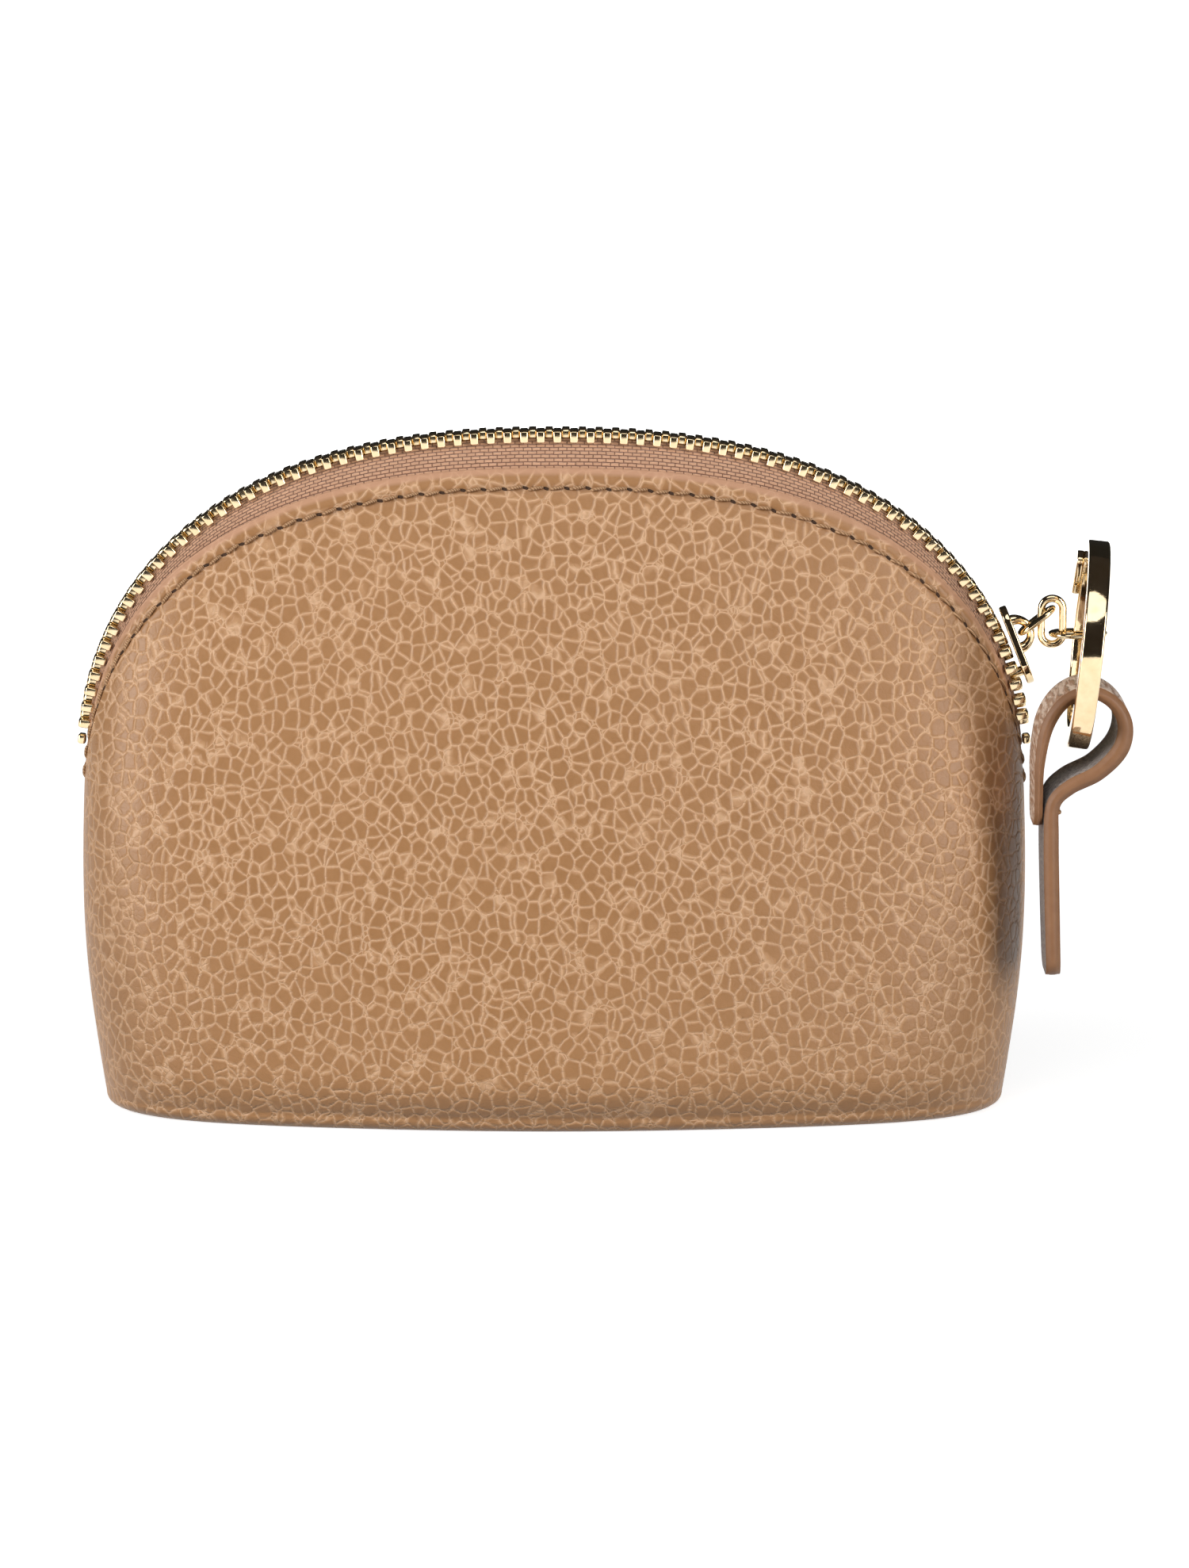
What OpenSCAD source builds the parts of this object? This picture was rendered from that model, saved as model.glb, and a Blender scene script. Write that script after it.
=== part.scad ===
// Half-moon zippered pouch in pebbled leather, with a ring and a leather strap on the zip slider.
// Units are millimetres. +Z is up, +X is the long side and the slider end, the front faces -Y.
// The origin is the middle of the face the pouch stands on.

/* [Body] */
// half width of the standing base
base_half_w = 54.8; // [38:0.1:75]
// half width where the side seam meets the zip
side_half_w = 57; // [40:0.1:78]
// how far the side seam swells between its ends
side_bulge = 1.2; // [0:0.1:3]
// height of the top of the side seam
seam_top_z = 38; // [24:0.5:55]
// height of the zip line over the top of the side seam
arch_rise = 44.3; // [28:0.1:62]
// squareness of the arch (2 is an ellipse)
arch_power = 2.42; // [2:0.01:3]
// half depth of the fullest part of the body
half_depth = 19.6; // [12:0.1:28]
// thickness of the leather
leather_t = 1.2; // [0.8:0.1:2]
// thickness of the lining cloth
lining_t = 0.4; // [0.2:0.05:0.8]
// thickness of the flat base panel
base_t = 1.5; // [1:0.1:3]

/* [Zip] */
// pitch of the teeth in one row
tooth_pitch = 2; // [1.5:0.1:3]
// width of one tooth along the zip
tooth_w = 0.7; // [0.5:0.05:1.2]
// length of the slider
slider_len = 10; // [8:0.1:14]
// half width of the slider's top plate
slider_half_w = 3.3; // [2.6:0.1:4.5]
// thickness of each slider plate
slider_plate_t = 0.95; // [0.7:0.05:1.3]
// pitch of the stitches beside the zip
stitch_pitch = 2.5; // [2:0.1:4]

/* [Pull] */
// outside diameter of the ring
ring_od = 25; // [18:0.5:34]
// inside diameter of the ring
ring_id = 20; // [14:0.5:28]
// thickness of the ring along its axis
ring_t = 2.6; // [1.8:0.1:4]
// lean of the ring out of the upright plane
ring_lean = 5.7; // [0:0.1:10]
// wire diameter of the small chain links
link_wire = 0.9; // [0.7:0.05:1.2]
// width of the strap
strap_w = 10; // [8:0.5:16]

/* [Hidden] */
$fn = 40;
eps = 0.01;

leather_color = [0.74, 0.57, 0.41];
lining_color = [0.55, 0.42, 0.31];
tape_color = [0.78, 0.62, 0.51];
gold_color = [0.85, 0.72, 0.42];
thread_color = [0.66, 0.49, 0.33];
board_color = [0.62, 0.55, 0.47];

seam_gap = 0.3;       // between the front and the rear panel along the side seam
panel_bottom_z = 1.8; // lower edge of the panels, just over the base panel
panel_edge_drop = 3.4; // from the zip line down to the cut edge of a panel
panel_edge_y = 4.4;   // half gap between the two cut edges under the zip
panel_arch_rise = arch_rise - panel_edge_drop;
panel_tuck = 2.2;     // how far the lower edge turns in
panel_tuck_share = 0.08;
zip_half_w = side_half_w + 0.3;
zip_end_angle = 82.9;
tape_end_angle = 73;

layer_gap = 0.15;     // between layers sewn to each other
tape_t = 0.5;
tape_offset = leather_t + layer_gap;
lining_offset = leather_t + 0.35;
lining_top = 0.88;    // share of the panel height the lining reaches
tape_lap = 0.93;      // share of the panel height where the tape ends under the leather

tooth_inner_y = 0.55;
tooth_outer_y = 2.2;
tooth_h = 1.6;
tape_inner_y = 2.5;
stitch_len = 1.8;
stitch_w = 0.45;
stitch_h = 0.3;

// ---------- rules shared by the sub-parts ----------

function mix(a, b, t) = a + (b - a) * t;
function clamp01(t) = max(0, min(1, t));

// share of the half width reached at arch angle f, -90 (left end) to 90 (right end)
function across(f) = sign(f) * pow(abs(sin(f)), 2 / arch_power);
function arch_up(f) = pow(abs(cos(f)), 2 / arch_power);
function zip_point(f) = [zip_half_w * across(f), 0, seam_top_z + arch_rise * arch_up(f)];
function zip_ahead(f) = unit(zip_point(f + 0.5) - zip_point(f - 0.5));
function outward(ahead) = [-ahead[2], 0, ahead[0]];

function side_w(v) = mix(base_half_w, side_half_w, v) + side_bulge * sin(180 * v);
function depth_mid(v) =
    panel_edge_y + (half_depth - panel_edge_y) * (1 - pow(v, 1.6))
    - panel_tuck * pow(max(0, 1 - v / panel_tuck_share), 2.2);
function depth_across(u, v) =
    (1 - 0.4 * pow(1 - v, 0.7) * pow(abs(u), 1.8))
    * sqrt(max(0, 1 - pow(abs(u), 10 + 6 * v)));

// a point of the front panel's outer face; f goes across and v goes up
function face_point(f, v) =
    let (u = across(f), top = seam_top_z + panel_arch_rise * arch_up(f))
    [u * side_w(v), -seam_gap / 2 - depth_mid(v) * depth_across(u, v),
     mix(panel_bottom_z, top, v)];

function unit(a) = a / norm(a);
// outward normal of the front panel, from one-sided steps that stay on the panel
function face_normal(f, v) =
    let (
        df = 0.5, dv = 0.01,
        here = face_point(f, v),
        along = f > 0 ? here - face_point(f - df, v) : face_point(f + df, v) - here,
        up = v > dv ? here - face_point(f, v - dv) : face_point(f, v + dv) - here
    )
    unit(cross(along, up));
function under_face(f, v, depth) = face_point(f, v) - depth * face_normal(f, v);

// arc length along the zip against arch angle
zip_steps = 240;
function zip_angle(i) = mix(-zip_end_angle, zip_end_angle, i / zip_steps);
zip_table = [
    for (i = 0, s = 0; i <= zip_steps;
         s = s + norm(zip_point(zip_angle(i + 1)) - zip_point(zip_angle(i))), i = i + 1)
    [s, zip_angle(i)]
];
zip_len = zip_table[zip_steps][0];
function angle_at(s) = lookup(s, zip_table);

// puts children on the zip line at arc length s: x along it to the right, z outward
module on_zip(s) {
    ahead = zip_ahead(angle_at(s));
    translate(zip_point(angle_at(s))) rotate([0, atan2(-ahead[2], ahead[0]), 0]) children();
}

// closed solid between two grids of points; columns run left to right, rows run up
module grid_solid(outer, inner) {
    cols = len(outer) - 1;
    rows = len(outer[0]) - 1;
    per_col = rows + 1;
    below = (cols + 1) * per_col;
    points = [for (grid = [outer, inner]) for (col = grid) for (p = col) p];
    faces = [
        for (i = [0 : cols - 1]) for (j = [0 : rows - 1])
            let (a = i * per_col + j, b = a + 1, c = a + per_col + 1, d = a + per_col)
            each [[a, b, c], [a, c, d], [a + below, c + below, b + below],
                  [a + below, d + below, c + below]],
        for (i = [0 : cols - 1])
            let (a = i * per_col, d = a + per_col, b = a + rows, c = d + rows)
            each [[a, d, d + below], [a, d + below, a + below],
                  [c, b, b + below], [c, b + below, c + below]],
        for (j = [0 : rows - 1])
            let (a = j, b = j + 1, d = cols * per_col + j, c = d + 1)
            each [[b, a, a + below], [b, a + below, b + below],
                  [d, c, c + below], [d, c + below, d + below]]
    ];
    polyhedron(points = points, faces = faces, convexity = 6);
}

// sheet under the front face, between two depths and over a share of its area
module face_sheet(depth, t, f_end, v0, v1, cols, rows) {
    function off_seam(p) = [p[0], min(p[1], -seam_gap / 2), p[2]];
    function at(i, j, d) =
        off_seam(under_face(mix(-f_end, f_end, i / cols), mix(v0, v1, j / rows), d));
    grid_solid(
        [for (i = [0 : cols]) [for (j = [0 : rows]) at(i, j, depth)]],
        [for (i = [0 : cols]) [for (j = [0 : rows]) at(i, j, depth + t)]]
    );
}

// ---------- leather body ----------

panel_cols = 40;
panel_rows = 16;
lining_cols = 28;
lining_rows = 8;

module leather_panel() {
    color(leather_color) face_sheet(0, leather_t, 90, 0, 1, panel_cols, panel_rows);
}

module lining_sheet() {
    color(lining_color)
        face_sheet(lining_offset, lining_t, 84, 0.06, lining_top, lining_cols, lining_rows);
}

// half of the base outline, from the left corner to the right corner
base_cols = 36;
function base_point(i, inset, side) =
    let (p = face_point(mix(-90, 90, i / base_cols), 0))
    [p[0] * (1 - inset / base_half_w), side * max(0.05, -p[1] - inset)];

module base_outline(inset) {
    polygon(concat(
        [for (i = [0 : base_cols]) base_point(i, inset, -1)],
        [for (i = [base_cols : -1 : 0]) base_point(i, inset, 1)]
    ));
}

module base_panel() {
    color(leather_color) linear_extrude(height = base_t) base_outline(0.2);
}

board_t = 1;
module base_board() {
    color(board_color)
        translate([0, 0, base_t + layer_gap]) linear_extrude(height = board_t)
            base_outline(2.4);
}

module base_lining() {
    color(lining_color)
        translate([0, 0, base_t + board_t + 2 * layer_gap]) linear_extrude(height = lining_t)
            base_outline(3);
}

// strip that binds the seam allowances inside one end of the pouch
binding_in = 2.4;
binding_t = 0.7;
binding_half_y = 1.8;
binding_steps = 12;
binding_z0 = 5;
binding_z1 = 37;
module seam_binding() {
    function share(i) = i / binding_steps;
    function at(i, inset) =
        let (z = mix(binding_z0, binding_z1, share(i)),
             v = (z - panel_bottom_z) / (seam_top_z - panel_bottom_z))
        [side_w(v) - inset, z];
    color(lining_color)
        translate([0, binding_half_y, 0]) rotate([90, 0, 0])
            linear_extrude(height = 2 * binding_half_y)
                polygon(concat(
                    [for (i = [0 : binding_steps]) at(i, binding_in)],
                    [for (i = [binding_steps : -1 : 0]) at(i, binding_in + binding_t)]
                ));
}

module base_side_left() {
    mirror([1, 0, 0]) seam_binding();
}

module base_side_right() {
    seam_binding();
}

// ---------- zip ----------

slider_s = zip_len - 10.6; // where the slider rests, measured along the zip
post_ahead = 3.2;          // separating post ahead of the slider's middle
post_r = 0.6;

// how far each row stands off the middle past the slider's post, back to nothing at the stop
function spread_at(s) =
    1.55 * clamp01((s - slider_s - post_ahead + 4) / 2.6) * clamp01((zip_len - s) / 6);

// 1 along the zip, falling to 0 where the panels close in at its ends
function from_ends(s) = clamp01((min(s, zip_len - s) - 2) / 7);

// distance from the middle to the tape's edge beside the teeth
function tape_edge_y(f, s) =
    min(tape_inner_y + spread_at(s), -under_face(f, 1, tape_offset)[1] - 0.3);

tape_cols = 60;
module zip_tape() {
    function tape_angle(i) = mix(-tape_end_angle, tape_end_angle, i / tape_cols);
    function zip_s(f) = lookup(f, [for (row = zip_table) [row[1], row[0]]]);
    // share 0 is the edge beside the teeth, 1 is under the cut edge, 2 is the end of the lap
    function tape_point(f, row, depth) =
        let (top = zip_point(f), edge = under_face(f, 1, tape_offset + depth))
        row == 0
            ? top - (0.4 + depth) * outward(zip_ahead(f))
                - [0, tape_edge_y(f, zip_s(f)), 0]
            : row == 1 ? edge : under_face(f, tape_lap, tape_offset + depth);
    color(tape_color) grid_solid(
        [for (i = [0 : tape_cols]) [for (row = [2 : -1 : 0]) tape_point(tape_angle(i), row, 0)]],
        [for (i = [0 : tape_cols]) [for (row = [2 : -1 : 0]) tape_point(tape_angle(i), row, tape_t)]]
    );
}

tooth_first_s = 1.5;
tooth_min_w = 0.8;
module tooth_row(shift) {
    count = floor((zip_len - tooth_first_s - shift - 1.2) / tooth_pitch);
    color(gold_color)
        for (i = [0 : count]) {
            s = tooth_first_s + shift + i * tooth_pitch;
            inner_y = tooth_inner_y - spread_at(s);
            outer_y = -max(tooth_min_w - inner_y, min(tooth_outer_y + spread_at(s),
                                                     tape_edge_y(angle_at(s), s) - 0.2));
            low = mix(-0.1, tooth_h / 2, from_ends(s));
            on_zip(s)
                translate([-tooth_w / 2, outer_y, -low])
                    cube([tooth_w, inner_y - outer_y, low + tooth_h / 2]);
        }
}

// share of the panel height that the stitch line keeps to
function stitch_share(f) = 0.969 - 0.024 * pow(abs(across(f)), 6);
function stitch_at(f) = face_point(f, stitch_share(f));
stitch_end_angle = 86;
stitch_steps = 160;
function stitch_angle(i) = mix(-stitch_end_angle, stitch_end_angle, i / stitch_steps);
function stitch_step(i) =
    norm(stitch_at(stitch_angle(i + 1)) - stitch_at(stitch_angle(i)));
stitch_table = [
    for (i = 0, s = 0; i <= stitch_steps; s = s + stitch_step(i), i = i + 1)
    [s, stitch_angle(i)]
];
stitch_line_len = stitch_table[stitch_steps][0];
module stitch_row() {
    color(thread_color)
        for (s = [1.5 * stitch_pitch : stitch_pitch : stitch_line_len - 1.5 * stitch_pitch]) {
            f = lookup(s, stitch_table);
            p = stitch_at(f);
            n = face_normal(f, stitch_share(f));
            ahead = unit(stitch_at(f + 0.5) - stitch_at(f - 0.5));
            side = cross(n, ahead);
            lift = p + n * 0.04;
            multmatrix([
                [ahead[0], side[0], n[0], lift[0]],
                [ahead[1], side[1], n[1], lift[1]],
                [ahead[2], side[2], n[2], lift[2]],
                [0, 0, 0, 1]
            ])
                translate([-stitch_len / 2, -stitch_w / 2, 0])
                    cube([stitch_len, stitch_w, stitch_h]);
        }
}

stop_len = 1.2;
stop_w = 1.6;
stop_h = 1;
module end_stop() {
    on_zip(zip_len) translate([0.4, -stop_w / 2, 0.1]) cube([stop_len, stop_w, stop_h]);
}

module end_stop_left() {
    color(gold_color) mirror([1, 0, 0]) end_stop();
}

module end_stop_right() {
    color(gold_color) end_stop();
}

// ---------- front and rear sides ----------

module front_panel() {
    leather_panel();
}

module front_lining() {
    lining_sheet();
}

module front_tape() {
    zip_tape();
}

module front_teeth() {
    tooth_row(0);
}

module front_stitching() {
    stitch_row();
}

module rear_panel() {
    mirror([0, 1, 0]) leather_panel();
}

module rear_lining() {
    mirror([0, 1, 0]) lining_sheet();
}

module rear_tape() {
    mirror([0, 1, 0]) zip_tape();
}

module rear_teeth() {
    mirror([0, 1, 0]) tooth_row(tooth_pitch / 2);
}

module rear_stitching() {
    mirror([0, 1, 0]) stitch_row();
}

// ---------- slider ----------

plate_gap = 1.15; // from the zip line to the inside of each plate
tail_r = 2.2;
inner_plate_half_w = 1.5; // the plate inside the pouch is narrower, between the tapes
inner_tail_r = 1.2;

// plan of one plate, wide at the leading end and narrow at the tail
module slider_plate(half_w, tail) {
    lead_x = slider_len / 2 - half_w;
    tail_x = -slider_len / 2 + tail;
    linear_extrude(height = slider_plate_t) {
        translate([lead_x, 0]) circle(half_w);
        translate([tail_x, 0]) circle(tail);
        polygon([[lead_x, half_w], [lead_x, -half_w], [tail_x, -tail], [tail_x, tail]]);
    }
}

module slider_body() {
    color(gold_color) on_zip(slider_s) {
        translate([0, 0, plate_gap]) slider_plate(slider_half_w, tail_r);
        translate([0, 0, -plate_gap - slider_plate_t]) slider_plate(inner_plate_half_w, inner_tail_r);
        translate([post_ahead, 0, -plate_gap - eps])
            cylinder(r = post_r, h = 2 * plate_gap + 2 * eps);
    }
}

bridge_r = 1.8;
bridge_wire = 1;
bridge_x = -1.2; // middle of the bridge along the slider
plate_top = plate_gap + slider_plate_t;
module slider_bridge() {
    color(gold_color) on_zip(slider_s)
        translate([bridge_x, 0, plate_top - 0.1]) rotate([90, 0, 0])
            rotate_extrude(angle = 180) translate([bridge_r, 0]) circle(d = bridge_wire);
}

// ---------- chain, ring and strap ----------

// oval wire link in the xy plane, from x = 0 to x = length on the wire's centreline
module wire_link(length, half_w, wire) {
    straight = length - 2 * half_w;
    translate([half_w, 0, 0]) {
        rotate([0, 0, 90]) rotate_extrude(angle = 180) translate([half_w, 0]) circle(d = wire);
        translate([straight, 0, 0]) rotate([0, 0, -90])
            rotate_extrude(angle = 180) translate([half_w, 0]) circle(d = wire);
        for (side = [-1, 1])
            translate([0, side * half_w, 0]) rotate([0, 90, 0])
                cylinder(d = wire, h = straight);
    }
}

link_half_w = 1.3;
hook_height = plate_top + link_wire / 2 + 0.15; // first link's wire over the zip line
slider_ahead = zip_ahead(angle_at(slider_s));
hook_pos = zip_point(angle_at(slider_s)) + bridge_x * slider_ahead
    + hook_height * outward(slider_ahead); // inside the bridge
link_1_len = 4.7;
link_1_angle = 38;          // above the X axis
link_2_len = 5.6;
link_2_angle = -90;
hook_gap = 1.25;            // between the centrelines of two hooked wires
function heading(a) = [cos(a), 0, sin(a)];
link_1_end = hook_pos + link_1_len * heading(link_1_angle);
link_2_start = link_1_end - hook_gap * heading(link_2_angle);
link_3_start = link_2_start + (link_2_len - hook_gap) * heading(link_2_angle);
link_3_half_w = 2.15;
link_3_len = 6.4;
link_3_turn = 8;
link_3_wire = 0.8;

module link_1() {
    color(gold_color) translate(hook_pos) rotate([0, -link_1_angle, 0])
        wire_link(link_1_len, link_half_w, link_wire);
}

module link_2() {
    color(gold_color) translate(link_2_start) rotate([0, -link_2_angle, 0]) rotate([90, 0, 0])
        wire_link(link_2_len, link_half_w, link_wire);
}

module link_3() {
    color(gold_color) translate(link_3_start) rotate([0, 0, link_3_turn])
        wire_link(link_3_len, link_3_half_w, link_3_wire);
}

ring_mid_r = (ring_od + ring_id) / 4;
ring_center = [63.8, -10.65, 58.4];
ring_yaw = -2;
module in_ring() {
    translate(ring_center) rotate([0, 0, ring_yaw]) rotate([0, ring_lean, 0]) children();
}

module ring_hoop() {
    color(gold_color) in_ring() rotate([0, 90, 0]) {
        rotate_extrude($fn = 72)
            translate([ring_id / 2, -ring_t / 2]) square([ring_od / 2 - ring_id / 2, ring_t]);
    }
}

plaque_len = 6.5;
plaque_t = 0.8;
plaque_turn = 41;
module ring_plaque() {
    color(gold_color) in_ring() rotate([plaque_turn, 0, 0])
        translate([-ring_t / 2 - plaque_t, ring_mid_r - 1, -plaque_len / 2])
            cube([plaque_t + 0.05, 2, plaque_len]);
}

// centreline of the folded strap in the xz plane, with the strap's thickness at each knot
strap_knots = [
    [57.75, 37.2, 1.0], [57.75, 41, 1.0], [57.85, 45, 1.2], [58.7, 49.4, 1.5],
    [60.7, 52.4, 1.5], [63.6, 53.6, 1.5], [66.4, 52.4, 1.6], [67.9, 49.8, 1.8],
    [67.4, 46.7, 2.0], [64.8, 43.9, 1.9], [61.4, 42.1, 1.8], [59.5, 40, 1.7],
    [59.3, 36, 1.8], [59.5, 28, 1.8], [59.8, 19, 1.7]
];
strap_sub = 6;
function spline(a, b, c, d, t) =
    0.5 * (2 * b + (c - a) * t + (2 * a - 5 * b + 4 * c - d) * t * t
           + (3 * b - a - 3 * c + d) * t * t * t);
function knot(i) = strap_knots[max(0, min(len(strap_knots) - 1, i))];
strap_line = [
    for (i = [0 : len(strap_knots) - 2]) for (k = [0 : strap_sub - 1])
        spline(knot(i - 1), knot(i), knot(i + 1), knot(i + 2), k / strap_sub),
    knot(len(strap_knots) - 1)
];
function strap_side(i, side) =
    let (last = len(strap_line) - 1,
         a = strap_line[max(0, i - 1)], b = strap_line[min(last, i + 1)],
         p = strap_line[i], d = unit([b[0] - a[0], b[1] - a[1]]))
    [p[0] - side * d[1] * p[2] / 2, p[1] + side * d[0] * p[2] / 2];

strap_center_y = ring_center[1] - 1.4; // the fold sits a little forward in the ring
module strap_leather() {
    color(leather_color)
        translate([0, strap_center_y + strap_w / 2, 0]) rotate([90, 0, 0])
            linear_extrude(height = strap_w)
                polygon(concat(
                    [for (i = [0 : len(strap_line) - 1]) strap_side(i, 1)],
                    [for (i = [len(strap_line) - 1 : -1 : 0]) strap_side(i, -1)]
                ));
}

// thread that ties the two legs of the fold, on the outside of the long leg
strap_stitch_count = 3;
strap_stitch_z = 38.6;
module strap_stitching() {
    color(thread_color)
        for (i = [0 : strap_stitch_count - 1])
            translate([60.35, strap_center_y + (i - (strap_stitch_count - 1) / 2) * stitch_pitch
                       - stitch_len / 2, strap_stitch_z])
                cube([stitch_h, stitch_len, stitch_w]);
}

base_panel();
base_board();
base_lining();
base_side_left();
base_side_right();
end_stop_left();
end_stop_right();
front_panel();
front_lining();
front_tape();
front_teeth();
front_stitching();
rear_panel();
rear_lining();
rear_tape();
rear_teeth();
rear_stitching();
slider_body();
slider_bridge();
link_1();
link_2();
link_3();
ring_hoop();
ring_plaque();
strap_leather();
strap_stitching();
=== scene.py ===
"""Looks for the zippered pouch: leather skins, zip, chain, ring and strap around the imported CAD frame.

Lengths in this script are in millimetres, in the CAD model's frame, until mesh_object() turns them
into metres.
"""

import math

import bpy
import numpy as np
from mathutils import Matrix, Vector, noise


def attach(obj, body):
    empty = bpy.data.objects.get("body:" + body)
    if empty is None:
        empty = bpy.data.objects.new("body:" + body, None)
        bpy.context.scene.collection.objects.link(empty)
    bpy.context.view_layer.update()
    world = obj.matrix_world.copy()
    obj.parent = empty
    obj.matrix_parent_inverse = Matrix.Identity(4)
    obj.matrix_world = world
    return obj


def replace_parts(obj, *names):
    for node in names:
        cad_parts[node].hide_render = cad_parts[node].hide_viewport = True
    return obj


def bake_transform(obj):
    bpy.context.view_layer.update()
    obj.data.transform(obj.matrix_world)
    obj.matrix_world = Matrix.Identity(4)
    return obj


MM = 0.001

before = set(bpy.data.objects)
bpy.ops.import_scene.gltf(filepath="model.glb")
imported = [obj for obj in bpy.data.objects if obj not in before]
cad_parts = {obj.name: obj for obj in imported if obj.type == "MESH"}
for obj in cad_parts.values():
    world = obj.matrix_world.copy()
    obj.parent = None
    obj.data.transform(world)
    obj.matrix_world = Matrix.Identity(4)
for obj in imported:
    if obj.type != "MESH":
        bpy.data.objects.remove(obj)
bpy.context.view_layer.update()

# ---------- sizes, as in the CAD model ----------

BASE_HALF_W = 54.8
SIDE_HALF_W = 57.0
SIDE_BULGE = 1.2
SEAM_TOP_Z = 38.0
ARCH_RISE = 44.3
ARCH_POWER = 2.42
HALF_DEPTH = 19.6
PANEL_BOTTOM_Z = 1.8
PANEL_EDGE_Y = 4.4
PANEL_EDGE_DROP = 3.4
PANEL_TUCK = 2.2
TUCK_SHARE = 0.08
LEATHER_T = 1.2
SEAM_GAP = 0.1
ZIP_HALF_W = SIDE_HALF_W + 0.3
TOOTH_PITCH = 2.0
STITCH_PITCH = 2.5

# ---------- mesh helpers ----------


def mesh_object(name, points, faces, materials, slots=None, smooth=True):
    """Adds a mesh from points in millimetres; slots gives each face's material number."""
    points = np.asarray(points, float)
    mesh = bpy.data.meshes.new(name)
    mesh.from_pydata((points * MM).tolist(), [], [list(map(int, f)) for f in faces])
    for material in materials:
        mesh.materials.append(material)
    if slots is not None:
        mesh.polygons.foreach_set("material_index", np.asarray(slots, np.int32))
    mesh.polygons.foreach_set("use_smooth", np.full(len(mesh.polygons), smooth))
    set_attribute(mesh, "rest_mm", points)
    mesh.update()
    obj = bpy.data.objects.new(name, mesh)
    bpy.context.scene.collection.objects.link(obj)
    return obj


def set_attribute(mesh, name, values):
    """Stores a number or a vector at each vertex, for the materials to read."""
    values = np.asarray(values, np.float32)
    if values.ndim == 1:
        attribute = mesh.attributes.new(name, "FLOAT", "POINT")
        attribute.data.foreach_set("value", values)
    else:
        attribute = mesh.attributes.new(name, "FLOAT_VECTOR", "POINT")
        attribute.data.foreach_set("vector", values.ravel())


def grid_faces(cols, rows, start=0, flip=False, wrap=False):
    """Quads of a grid stored column by column, seen from outside when columns run right."""
    c = np.arange(cols if wrap else cols - 1)
    r = np.arange(rows - 1)
    i, j = np.meshgrid(c, r, indexing="ij")
    k = (i + 1) % cols
    quads = np.stack([i * rows + j, k * rows + j, k * rows + j + 1, i * rows + j + 1], -1)
    quads = quads.reshape(-1, 4) + start
    return quads[:, ::-1] if flip else quads


def closed_sheet(outer, inner):
    """Faces and points of a sheet between two grids of shape (cols, rows, 3), and which part each face is.

    Parts: 0 outer, 1 inner, 2 bottom rim, 3 top rim, 4 end rims.
    """
    cols, rows = outer.shape[:2]
    below = cols * rows
    top = np.arange(cols) * rows + rows - 1
    bottom = np.arange(cols) * rows
    left = np.arange(rows)
    right = (cols - 1) * rows + np.arange(rows)

    def rim(line, flip):
        quads = np.stack([line[:-1], line[1:], line[1:] + below, line[:-1] + below], -1)
        return quads[:, ::-1] if flip else quads

    parts = [
        grid_faces(cols, rows),
        grid_faces(cols, rows, start=below, flip=True),
        rim(bottom, True),
        rim(top, False),
        np.concatenate([rim(left, False), rim(right, True)]),
    ]
    slots = np.concatenate([np.full(len(p), n) for n, p in enumerate(parts)])
    points = np.concatenate([outer.reshape(-1, 3), inner.reshape(-1, 3)])
    return points, np.concatenate(parts), slots


def unit(v):
    return v / np.maximum(np.linalg.norm(v, axis=-1, keepdims=True), 1e-9)


def grid_normals(grid):
    """Outward normals of a (cols, rows, 3) grid."""
    along = np.gradient(grid, axis=0)
    up = np.gradient(grid, axis=1)
    return unit(np.cross(along, up))


def smooth_step(a, b, x):
    t = np.clip((x - a) / (b - a), 0, 1)
    return t * t * (3 - 2 * t)


def tube(path, radius_u, radius_v, closed=False, sides=14, up=(0.0, 1.0, 0.0)):
    """Points and faces of a tube with an oval section along a path of points in millimetres."""
    path = np.asarray(path, float)
    count = len(path)
    if closed:
        ahead = unit(np.roll(path, -1, 0) - np.roll(path, 1, 0))
    else:
        ahead = unit(np.gradient(path, axis=0))
    side = unit(np.cross(ahead, np.asarray(up, float)))
    lift = np.cross(side, ahead)
    ru = np.broadcast_to(radius_u, (count,))[:, None, None]
    rv = np.broadcast_to(radius_v, (count,))[:, None, None]
    turn = np.linspace(0, 2 * np.pi, sides, endpoint=False)[None, :, None]
    rings = path[:, None] + side[:, None] * np.cos(turn) * ru + lift[:, None] * np.sin(turn) * rv
    points = rings.reshape(-1, 3)
    i, j = np.meshgrid(np.arange(count if closed else count - 1), np.arange(sides), indexing="ij")
    n, m = (i + 1) % count, (j + 1) % sides
    faces = np.stack([i * sides + j, i * sides + m, n * sides + m, n * sides + j], -1).reshape(-1, 4)
    faces = [list(f) for f in faces]
    if not closed:
        faces.append(list(range(sides))[::-1])
        faces.append([(count - 1) * sides + k for k in range(sides)])
    return points, faces


def join_parts(parts):
    """One list of points and faces from several."""
    points, faces, start = [], [], 0
    for p, f in parts:
        points.append(np.asarray(p, float))
        faces.extend([[int(k) + start for k in face] for face in f])
        start += len(p)
    return np.concatenate(points), faces


def bevel(obj, width, segments=3, angle=30):
    """Rounds a piece's sharp edges and applies the modifier."""
    mod = obj.modifiers.new("bevel", "BEVEL")
    mod.width = width * MM
    mod.segments = segments
    mod.limit_method = "ANGLE"
    mod.angle_limit = math.radians(angle)
    mod.harden_normals = False
    apply_modifiers(obj)


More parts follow.
